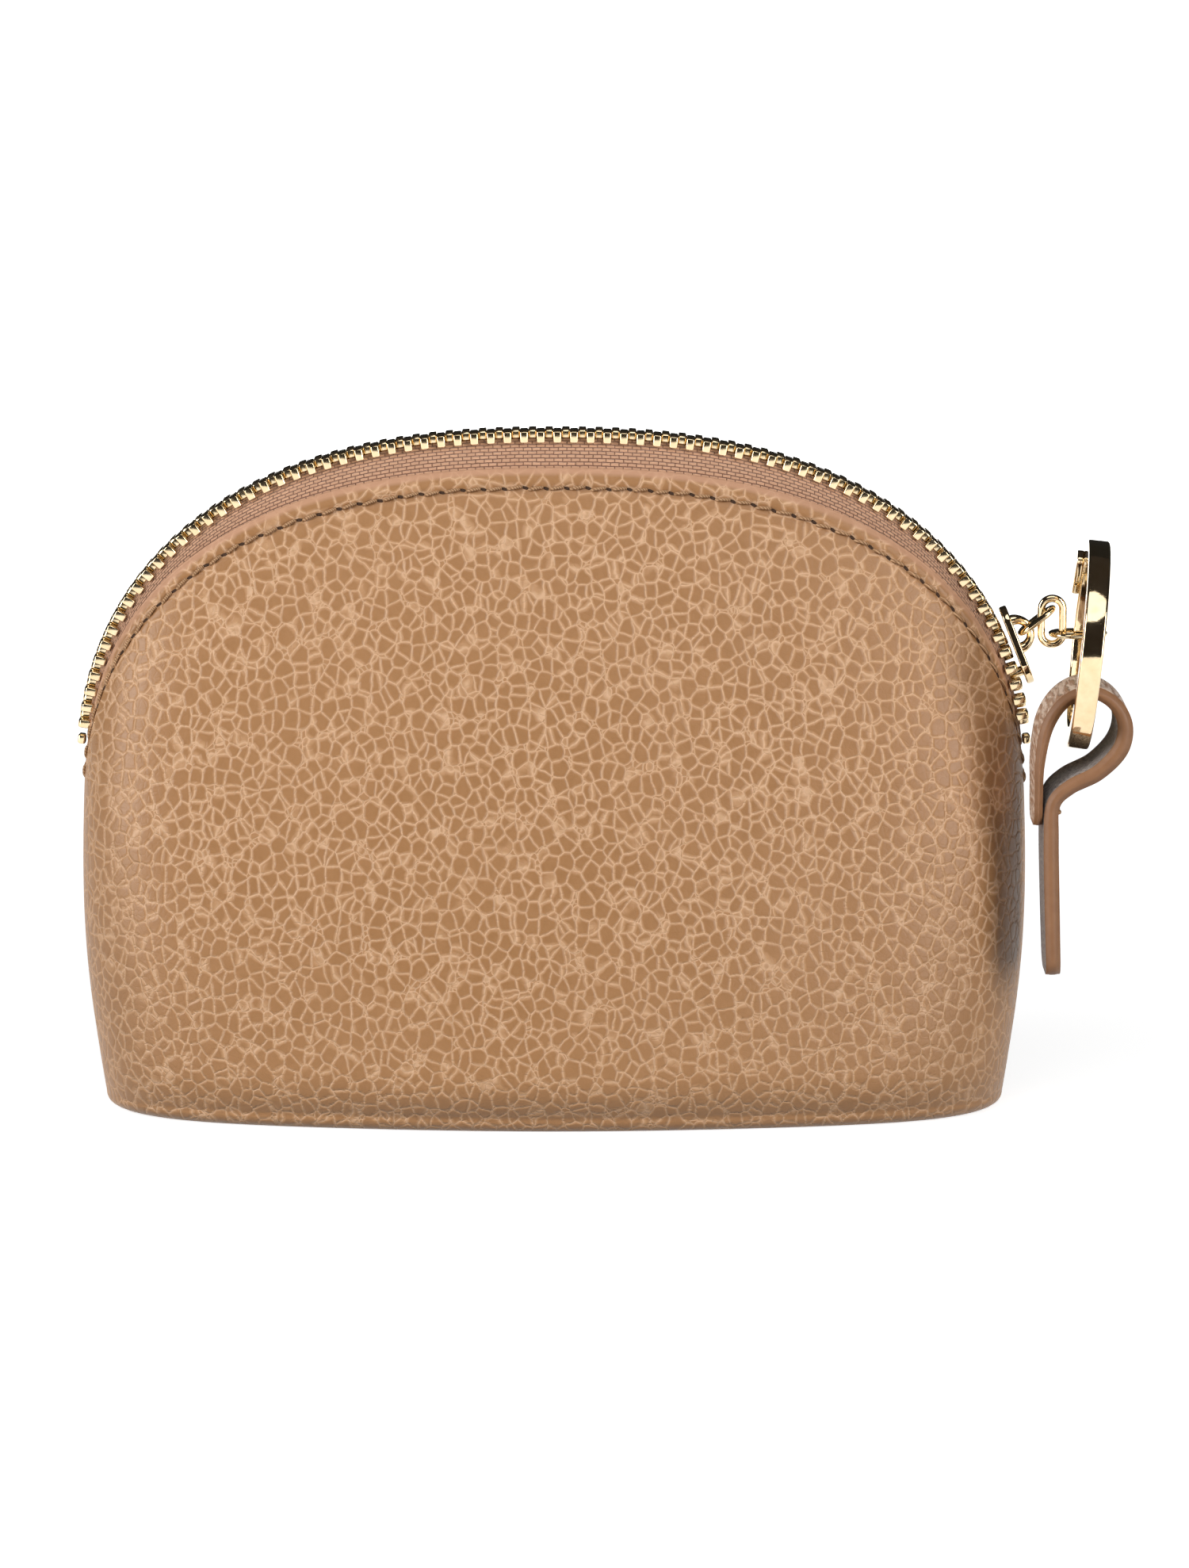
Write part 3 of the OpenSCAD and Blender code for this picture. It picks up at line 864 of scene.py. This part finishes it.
def add_teeth(name, side):
    shape, tooth_faces = tooth_shape()
    shift = 0 if side < 0 else TOOTH_PITCH / 2
    first = 1.5 + shift
    parts = []
    for s in np.arange(first, ZIP.length - 1.2, TOOTH_PITCH):
        ahead, out = ZIP.ahead(s), ZIP.outward(s)
        own = np.array([0.0, float(side), 0.0])
        local = shape[:, :1] * ahead + (shape[:, 1:2] + spread_at(s)) * own + shape[:, 2:] * out
        faces = tooth_faces if side > 0 else [f[::-1] for f in tooth_faces]
        parts.append((ZIP.at(s) + local, faces))
    points, faces = join_parts(parts)
    obj = mesh_object(name, points, faces, [GOLD_TEETH], smooth=False)
    bevel(obj, 0.1, 2, 25)
    return obj


def add_lining(name, side):
    cols = 120
    u = across(np.linspace(-0.93, 0.93, cols))[:, None]
    v = np.linspace(0.05, 0.9, 50)[None, :]
    outer = face_point(u, v)
    normals = grid_normals(outer)
    folds = soft_noise(outer.reshape(-1, 3), 14, 5).reshape(outer.shape[:2]) * 0.2
    outer = outer - normals * (LEATHER_T + 0.55 + folds[..., None])
    points, faces, _ = closed_sheet(outer, outer - normals * 0.4)
    if side > 0:
        points, faces = mirror_y(points), faces[:, ::-1]
    obj = mesh_object(name, points, faces, [LINING])
    return obj


# ---------- base ----------


def base_sheet(name, inset, z, thickness, material):
    """Flat piece in the base, following the body's outline."""
    cols, rows = 90, 9
    u = across(np.linspace(-0.97, 0.97, cols))
    front = face_point(u, 0.0)
    depth = np.maximum(0.4, -front[:, 1] - inset)
    x = front[:, 0] * (1 - inset / BASE_HALF_W)
    share = np.linspace(-1, 1, rows)
    y = depth[:, None] * share[None, :]
    top = np.stack([np.broadcast_to(x[:, None], y.shape), y, np.full(y.shape, z + thickness)], -1)
    top[..., 2] += soft_noise(top.reshape(-1, 3), 12, 7).reshape(y.shape) * 0.05
    low = top - np.array([0, 0, thickness])
    points, faces, _ = closed_sheet(top, low)
    obj = mesh_object(name, points, faces, [material])
    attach(obj, "base")
    return obj


def seam_binding(name, end):
    """Folded strip over the seam allowances inside one end."""
    z = np.linspace(5, 37, 30)
    v = (z - PANEL_BOTTOM_Z) / (SEAM_TOP_Z - PANEL_BOTTOM_Z)
    x = side_w(v) - 2.75
    path = np.stack([end * x, 0 * x, z], -1)
    points, faces = tube(path, 0.35, 1.7, sides=16, up=(0, 1, 0))
    obj = mesh_object(name, points, faces, [LINING])
    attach(obj, "base")
    return obj


STOP_TUCK = 0.35


def end_stop(name, end):
    """Small clip at one end of the zip."""
    s = ZIP.length if end > 0 else 0.0
    p, ahead, out = ZIP.at(s), ZIP.ahead(s) * end, ZIP.outward(s)
    p = p - STOP_TUCK * (ahead + out)
    corners = []
    for x in (0.4, 1.6):
        for y in (-0.8, 0.8):
            for z in (0.1, 1.1):
                corners.append(p + x * ahead + y * np.array([0, 1.0, 0]) + z * out)
    faces = [[0, 1, 3, 2], [4, 6, 7, 5], [0, 4, 5, 1], [2, 3, 7, 6], [0, 2, 6, 4], [1, 5, 7, 3]]
    if end > 0:
        faces = [f[::-1] for f in faces]
    obj = mesh_object(name, corners, faces, [GOLD_TEETH], smooth=False)
    bevel(obj, 0.3, 4)
    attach(obj, "base")
    return obj


# ---------- slider ----------

PLATE_GAP = 1.15
PLATE_T = 0.95
PLATE_TOP = PLATE_GAP + PLATE_T
SLIDER_LEN = 10.0
BRIDGE_X = -1.2
BRIDGE_R = 1.8


def in_slider(points):
    """Points from the slider's own axes: x ahead along the zip, y across, z outward."""
    p, ahead, out = ZIP.at(SLIDER_S), ZIP.ahead(SLIDER_S), ZIP.outward(SLIDER_S)
    points = np.asarray(points, float)
    return p + points[:, :1] * ahead + points[:, 1:2] * np.array([0, 1.0, 0]) + points[:, 2:] * out


def plate_outline(lead_half, tail_half, length, count=20):
    """Plan of a slider plate: round and wide at the leading end, narrower at the tail."""
    lead = np.radians(np.linspace(-80, 80, count))
    tail = np.radians(np.linspace(100, 260, count))
    lead_x = length / 2 - lead_half
    tail_x = -length / 2 + tail_half
    front = np.stack([lead_x + lead_half * np.cos(lead), lead_half * np.sin(lead)], -1)
    back = np.stack([tail_x + tail_half * np.cos(tail), tail_half * np.sin(tail)], -1)
    waist = np.array([[-0.6, tail_half + 0.15]])
    return np.concatenate([front, waist, back, waist * [1, -1]])


def prism(outline, low, high):
    count = len(outline)
    points = [(x, y, low) for x, y in outline] + [(x, y, high) for x, y in outline]
    faces = [[k, (k + 1) % count, (k + 1) % count + count, k + count] for k in range(count)]
    faces.append(list(range(count))[::-1])
    faces.append([k + count for k in range(count)])
    return np.array(points), faces


def add_slider():
    top = prism(plate_outline(3.3, 2.2, SLIDER_LEN), PLATE_GAP, PLATE_TOP)
    low = prism(plate_outline(1.5, 1.2, SLIDER_LEN), -PLATE_TOP, -PLATE_GAP)
    turn = np.radians(np.linspace(0, 360, 24, endpoint=False))
    circle = np.stack([POST_AHEAD + 0.6 * np.cos(turn), 0.6 * np.sin(turn)], -1)
    post = prism(circle, -PLATE_GAP - 0.1, PLATE_GAP + 0.1)
    points, faces = join_parts([top, low, post])
    obj = mesh_object("slider_plates", in_slider(points), faces, [GOLD], smooth=False)
    bevel(obj, 0.22, 4)
    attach(obj, "slider")
    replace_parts(obj, "slider_body")

    turn = np.radians(np.linspace(-8, 188, 40))
    bridge_x = BRIDGE_X + BRIDGE_R * np.cos(turn)
    bridge_z = PLATE_TOP - 0.1 + BRIDGE_R * np.sin(turn)
    bridge = np.stack([bridge_x, 0 * turn, bridge_z], -1)
    foot = 1 + 0.35 * np.abs(np.cos(turn)) ** 6
    points, faces = tube(in_slider(bridge), 0.5 * foot, 0.5 * foot, sides=18, up=(0, 1, 0))
    loop = mesh_object("slider_loop", points, faces, [GOLD])
    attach(loop, "slider")
    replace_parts(loop, "slider_bridge")


# ---------- chain, ring and strap ----------

LINK_WIRE = 0.47
LINK_HALF_W = 1.3
HOOK_GAP = 1.25


def heading(degrees):
    a = math.radians(degrees)
    return np.array([math.cos(a), 0.0, math.sin(a)])


def oval_path(length, half_w, count=72):
    """Closed path of an oval link in its own xy plane, starting at x = 0."""
    a = np.linspace(0, 2 * np.pi, count, endpoint=False)
    straight = length - 2 * half_w
    x = half_w * np.cos(a)
    x = np.where(x >= 0, x + straight, x) + half_w
    return np.stack([x, half_w * np.sin(a), 0 * a], -1)


def add_link(name, length, half_w, wire, start, x_axis, y_axis, flat=0.82):
    """One link of the chain, with the slightly flattened wire of a curb chain."""
    path = oval_path(length, half_w)
    y_axis = np.asarray(y_axis, float)
    placed = np.asarray(start) + path[:, :1] * x_axis + path[:, 1:2] * y_axis
    normal = np.cross(x_axis, y_axis)
    points, faces = tube(placed, wire, wire * flat, closed=True, sides=20, up=normal)
    obj = mesh_object(name + "_wire", points, faces, [GOLD])
    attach(obj, name)
    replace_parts(obj, name)


LINK_1 = (4.7, 38)
LINK_2 = (5.6, -90)
LINK_3_LEN = 6.4
LINK_3_TURN = 8
hook = in_slider([(BRIDGE_X, 0, PLATE_TOP + 0.6)])[0]
link_1_end = hook + LINK_1[0] * heading(LINK_1[1])
link_2_start = link_1_end - HOOK_GAP * heading(LINK_2[1])
link_3_start = link_2_start + (LINK_2[0] - HOOK_GAP) * heading(LINK_2[1])


def add_chain():
    y_axis = np.array([0, 1.0, 0])
    add_link("link_1", LINK_1[0], LINK_HALF_W, LINK_WIRE, hook, heading(LINK_1[1]), y_axis)
    a = LINK_2[1]
    add_link("link_2", LINK_2[0], LINK_HALF_W, LINK_WIRE, link_2_start, heading(a), heading(a + 90))
    t = math.radians(LINK_3_TURN)
    x_axis = np.array([math.cos(t), math.sin(t), 0])
    y_axis = np.array([-math.sin(t), math.cos(t), 0])
    add_link("link_3", LINK_3_LEN, 2.15, 0.42, link_3_start, x_axis, y_axis)


RING_OD, RING_ID, RING_T = 25.0, 20.0, 2.6
RING_LEAN, RING_YAW = 5.7, -2.0
RING_CENTER = np.array([63.8, -10.65, 58.4])


def in_ring(points):
    """Points from the ring's own axes: x along its axle, y to the rear, z up."""
    lean, yaw = math.radians(RING_LEAN), math.radians(RING_YAW)
    tilt = np.array([[math.cos(lean), 0, math.sin(lean)], [0, 1, 0], [-math.sin(lean), 0, math.cos(lean)]])
    spin = np.array([[math.cos(yaw), -math.sin(yaw), 0], [math.sin(yaw), math.cos(yaw), 0], [0, 0, 1]])
    return RING_CENTER + np.asarray(points, float) @ (spin @ tilt).T


def rounded_outline(corners, radius):
    """Outline with a quarter turn about each of four corner centres, anticlockwise from the first."""
    outline = []
    for (x, y), start in zip(corners, (0, 90, 180, 270)):
        for a in np.radians(np.linspace(start, start + 90, 6)):
            outline.append((x + radius * math.cos(a), y + radius * math.sin(a)))
    return np.array(outline)


def add_ring_band():
    c = 0.28  # radius of the band's rounded edges
    half_t, inner, outer = RING_T / 2 - c, RING_ID / 2 + c, RING_OD / 2 - c
    corners = [(half_t, outer), (-half_t, outer), (-half_t, inner), (half_t, inner)]
    along, reach = rounded_outline(corners, c).T
    turns = np.linspace(0, 2 * np.pi, 200, endpoint=False)
    grid = np.stack([np.stack([along, reach * math.cos(a), reach * math.sin(a)], -1) for a in turns])
    cols, rows = grid.shape[:2]
    i, j = np.meshgrid(np.arange(cols), np.arange(rows), indexing="ij")
    k, m = (i + 1) % cols, (j + 1) % rows
    faces = np.stack([i * rows + j, k * rows + j, k * rows + m, i * rows + m], -1).reshape(-1, 4)
    obj = mesh_object("ring_band", in_ring(grid.reshape(-1, 3)), faces, [GOLD])
    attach(obj, "ring")
    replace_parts(obj, "ring_hoop")


PLAQUE_HALF_LEN = 3.25
PLAQUE_HALF_W = 1.0
PLAQUE_CORNER_R = 0.6
PLAQUE_T = 0.8
PLAQUE_TURN = 41


def add_ring_plaque():
    turn = math.radians(PLAQUE_TURN)
    x, y = PLAQUE_HALF_LEN - PLAQUE_CORNER_R, PLAQUE_HALF_W - PLAQUE_CORNER_R
    outline = rounded_outline([(x, y), (-x, y), (-x, -y), (x, -y)], PLAQUE_CORNER_R)
    local, faces = prism(outline, 0.0, PLAQUE_T)
    x = -RING_T / 2 - local[:, 2] + 0.02
    y = (RING_ID + RING_OD) / 4 + local[:, 1]
    z = local[:, 0]
    turned_y = y * math.cos(turn) - z * math.sin(turn)
    turned_z = y * math.sin(turn) + z * math.cos(turn)
    placed = np.stack([x, turned_y, turned_z], -1)
    plaque = mesh_object("ring_plate", in_ring(placed), faces, [GOLD], smooth=False)
    bevel(plaque, 0.15, 3)
    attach(plaque, "ring")
    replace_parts(plaque, "ring_plaque")


STRAP_W = 10.0
STRAP_Y = RING_CENTER[1] - 1.4
# centreline of the folded strap in the xz plane, with the strap's thickness at each knot
STRAP_KNOTS = [
    (57.75, 37.2, 1.0), (57.75, 41, 1.0), (57.85, 45, 1.2), (58.7, 49.4, 1.5),
    (60.7, 52.4, 1.5), (63.6, 53.6, 1.5), (66.4, 52.4, 1.6), (67.9, 49.8, 1.8),
    (67.4, 46.7, 2.0), (64.8, 43.9, 1.9), (61.4, 42.1, 1.8), (59.5, 40, 1.7),
    (59.3, 36, 1.8), (59.5, 28, 1.8), (59.8, 19, 1.7),
]


def spline(knots, per_knot):
    """Smooth curve through the knots."""
    knots = np.asarray(knots, float)
    padded = np.concatenate([knots[:1], knots, knots[-1:]])
    out = []
    for k in range(len(knots) - 1):
        a, b, c, d = padded[k : k + 4]
        for t in np.linspace(0, 1, per_knot, endpoint=False):
            out.append(0.5 * (2 * b + (c - a) * t + (2 * a - 5 * b + 4 * c - d) * t**2
                              + (3 * b - a - 3 * c + d) * t**3))
    return np.array(out + [knots[-1]])


STRAP_ROUND_R = 2.2
STRAP_EDGE_R = 0.38
GRAIN_SIDE, EDGE_SIDE, FLESH_SIDE = 0, 1, 2


def strap_section(half_t, half_w):
    """Section of the strap with rounded edges: (outward, across) points, and the side each lies on."""
    c = STRAP_EDGE_R
    flat = np.linspace(-half_w + c, half_w - c, 11)
    turns = np.radians(np.linspace(75, -75, 7))

    def edge(a, side):
        out = (half_t - c) * math.sin(a) / math.sin(math.radians(75)) + c * math.sin(a) * 0.2
        return (out, side * (half_w - c + c * math.cos(a)))

    points = [(half_t, y) for y in flat]
    points += [edge(a, 1) for a in turns]
    points += [(-half_t, y) for y in flat[::-1]]
    points += [edge(a, -1) for a in turns[::-1]]
    sides = [GRAIN_SIDE] * 11 + [EDGE_SIDE] * 7 + [FLESH_SIDE] * 11 + [EDGE_SIDE] * 7
    return points, np.array(sides)


def strap_rings():
    """Sections along the folded strap, the side of each of their points, and the length run so far."""
    line = spline(STRAP_KNOTS, 14)
    centre = np.stack([line[:, 0], 0 * line[:, 0], line[:, 1]], -1)
    ahead = unit(np.gradient(centre, axis=0))
    outward = np.stack([-ahead[:, 2], 0 * ahead[:, 0], ahead[:, 0]], -1)
    run = np.concatenate([[0], np.cumsum(np.linalg.norm(np.diff(centre, axis=0), axis=1))])
    cut = np.clip(1 - np.minimum(run, run[-1] - run) / STRAP_ROUND_R, 0, 1)
    half_w = STRAP_W / 2 - STRAP_ROUND_R * (1 - np.sqrt(np.maximum(0, 1 - cut**2)))
    rings = []
    for k in range(len(line)):
        section, sides = strap_section(line[k, 2] / 2, half_w[k])
        rings.append([centre[k] + out * outward[k] + np.array([0, y, 0]) for out, y in section])
    return np.array(rings) + np.array([0, STRAP_Y, 0]), sides, run


def add_strap_leather():
    rings, sides, run = strap_rings()
    count, around = rings.shape[:2]
    i, j = np.meshgrid(np.arange(count - 1), np.arange(around), indexing="ij")
    m = (j + 1) % around
    here, after = i * around, (i + 1) * around
    faces = np.stack([here + j, here + m, after + m, after + j], -1).reshape(-1, 4).tolist()
    faces.append(list(range(around))[::-1])
    faces.append([(count - 1) * around + k for k in range(around)])
    slots = np.where(sides[j] == sides[m], sides[j], EDGE_SIDE).reshape(-1).tolist()
    slots += [EDGE_SIDE, EDGE_SIDE]
    materials = [STRAP_GRAIN, PAINTED, STRAP_FLESH]
    obj = mesh_object("strap_fold", rings.reshape(-1, 3), faces, materials, slots)
    set_attribute(obj.data, "run_mm", np.repeat(run, around))
    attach(obj, "strap")
    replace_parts(obj, "strap_leather")


def add_strap_thread():
    threads = []
    for row in (-1, 0, 1):
        y = STRAP_Y + row * STITCH_PITCH
        along = np.linspace(-0.9, 0.9, 9)
        rise = 0.1 - 0.4 * np.abs(along / 0.9) ** 3
        path = np.stack([60.33 + rise, y + along, 38.8 + 0.06 * along], -1)
        threads.append(tube(path, 0.2, 0.2, sides=8, up=(1, 0, 0)))
    points, faces = join_parts(threads)
    thread = mesh_object("strap_thread", points, faces, [THREAD])
    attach(thread, "strap")
    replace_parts(thread, "strap_stitching")


# ---------- putting it together ----------


def add_body():
    points, faces, parts, edge, groove = front_skin_parts()
    for name, side in (("front", -1), ("rear", 1)):
        skin = add_skin(name + "_skin", side, points, faces, parts, edge, groove)
        hinge_blend(skin)
        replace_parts(skin, name + "_panel", *(["base_panel"] if side < 0 else []))
        for piece, node in (
            (add_stitching(name + "_thread", side), name + "_stitching"),
            (add_tape(name + "_zip_cloth", side), name + "_tape"),
            (add_teeth(name + "_metal_teeth", side), name + "_teeth"),
            (add_lining(name + "_inner_cloth", side), name + "_lining"),
        ):
            hinge_blend(piece)
            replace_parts(piece, node)
    cloth = base_sheet("base_cloth", 2.4, 2.9, 0.4, LINING)
    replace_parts(cloth, "base_lining")
    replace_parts(base_sheet("base_stiffener", 2.2, 1.6, 1.0, BOARD), "base_board")
    for name, end in (("left", -1), ("right", 1)):
        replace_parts(seam_binding("binding_" + name, end), "base_side_" + name)
        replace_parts(end_stop("zip_stop_" + name, end), "end_stop_" + name)


# ---------- floor, light and camera ----------


def plain_material(name, color, roughness):
    n = Nodes(name)
    return n.finish(color, roughness)


FLOOR_HALF = 8000.0
FLOOR_GLOW = 0.75
FLAG_CENTER = (40.0, 0.0, 45.0)
FLAG_RADIUS = 700.0


def add_stage():
    half = FLOOR_HALF
    points = [(-half, -half, 0), (half, -half, 0), (half, half, 0), (-half, half, 0)]
    white = plain_material("floor_white", (0.85, 0.85, 0.85, 1), 0.6)
    white.node_tree.nodes["Principled BSDF"].inputs["Emission Color"].default_value = (1, 1, 1, 1)
    white.node_tree.nodes["Principled BSDF"].inputs["Emission Strength"].default_value = FLOOR_GLOW
    floor = mesh_object("floor", points, [[0, 1, 2, 3]], [white])
    floor.visible_diffuse = False


def add_flag():
    """Dark curved card in front and overhead that only reflections see."""
    turns = np.radians(np.linspace(-12, 120, 34))
    sides = np.radians(np.linspace(-32, 32, 9))
    turn, side = np.meshgrid(turns, sides, indexing="ij")
    x = FLAG_RADIUS * np.sin(side)
    y = -FLAG_RADIUS * np.cos(turn) * np.cos(side)
    z = FLAG_RADIUS * np.sin(turn) * np.cos(side)
    points = np.stack([x, y, z], -1).reshape(-1, 3) + np.array(FLAG_CENTER)
    black = plain_material("flag_black", (0.018, 0.012, 0.009, 1), 0.9)
    flag = mesh_object("dark_flag", points, grid_faces(34, 9), [black])
    flag.visible_camera = False
    flag.visible_diffuse = False
    flag.visible_shadow = False
    flag.visible_transmission = False


def area_light(name, position, target, size, power, color=(1, 1, 1)):
    """Rectangular soft light; position and target in millimetres, size in millimetres."""
    light = bpy.data.lights.new(name, "AREA")
    light.shape = "RECTANGLE"
    light.size, light.size_y = size[0] * MM, size[1] * MM
    light.energy = power
    light.color = color
    obj = bpy.data.objects.new(name, light)
    obj.location = Vector(position) * MM
    obj.rotation_euler = (Vector(target) - Vector(position)).to_track_quat("-Z", "Y").to_euler()
    bpy.context.scene.collection.objects.link(obj)


WORLD_LEVEL = 0.4
WORLD_LOW = 0.26


def add_lights():
    middle = (0, 0, 40)
    area_light("top", (0, -420, 560), middle, (700, 400), 1.6)
    area_light("left_strip", (-600, -330, 200), middle, (220, 600), 4.1)
    area_light("right_strip", (500, -540, 200), middle, (240, 600), 3.8)
    area_light("backdrop_wash", (0, 900, 900), (0, 2000, 0), (2400, 600), 60.0)
    world = bpy.data.worlds.new("studio")
    world.use_nodes = True
    tree = world.node_tree
    up = tree.nodes.new("ShaderNodeSeparateXYZ")
    tree.links.new(tree.nodes.new("ShaderNodeTexCoord").outputs["Generated"], up.inputs[0])
    level = tree.nodes.new("ShaderNodeMapRange")
    steps = {"From Min": -0.15, "From Max": 0.15, "To Min": WORLD_LOW, "To Max": WORLD_LEVEL}
    for key, value in steps.items():
        level.inputs[key].default_value = value
    tree.links.new(up.outputs["Z"], level.inputs["Value"])
    tree.links.new(level.outputs["Result"], tree.nodes["Background"].inputs["Strength"])
    bpy.context.scene.world = world
    bpy.context.scene.view_settings.view_transform = "Standard"


CAMERA_DISTANCE = 800.0
CAMERA_ELEVATION = 10.0
CAMERA_AZIMUTH = 0.0
TARGET = (4.9, 0.0, 39.6)
FRAME_HEIGHT = 190.5
SENSOR = 36.0


def add_camera():
    camera = bpy.data.cameras.new("camera")
    camera.sensor_fit = "AUTO"
    camera.sensor_width = SENSOR
    camera.lens = SENSOR * CAMERA_DISTANCE / FRAME_HEIGHT
    camera.clip_start = 0.01
    obj = bpy.data.objects.new("camera", camera)
    elevation, azimuth = math.radians(CAMERA_ELEVATION), math.radians(CAMERA_AZIMUTH)
    back = Vector((
        -math.sin(azimuth) * math.cos(elevation),
        -math.cos(azimuth) * math.cos(elevation),
        math.sin(elevation),
    ))
    obj.location = (Vector(TARGET) + back * CAMERA_DISTANCE) * MM
    obj.rotation_euler = (-back).to_track_quat("-Z", "Y").to_euler()
    bpy.context.scene.collection.objects.link(obj)
    bpy.context.scene.camera = obj


add_body()
add_slider()
add_chain()
add_ring_band()
add_ring_plaque()
add_strap_leather()
add_strap_thread()
add_stage()
add_flag()
add_lights()
add_camera()
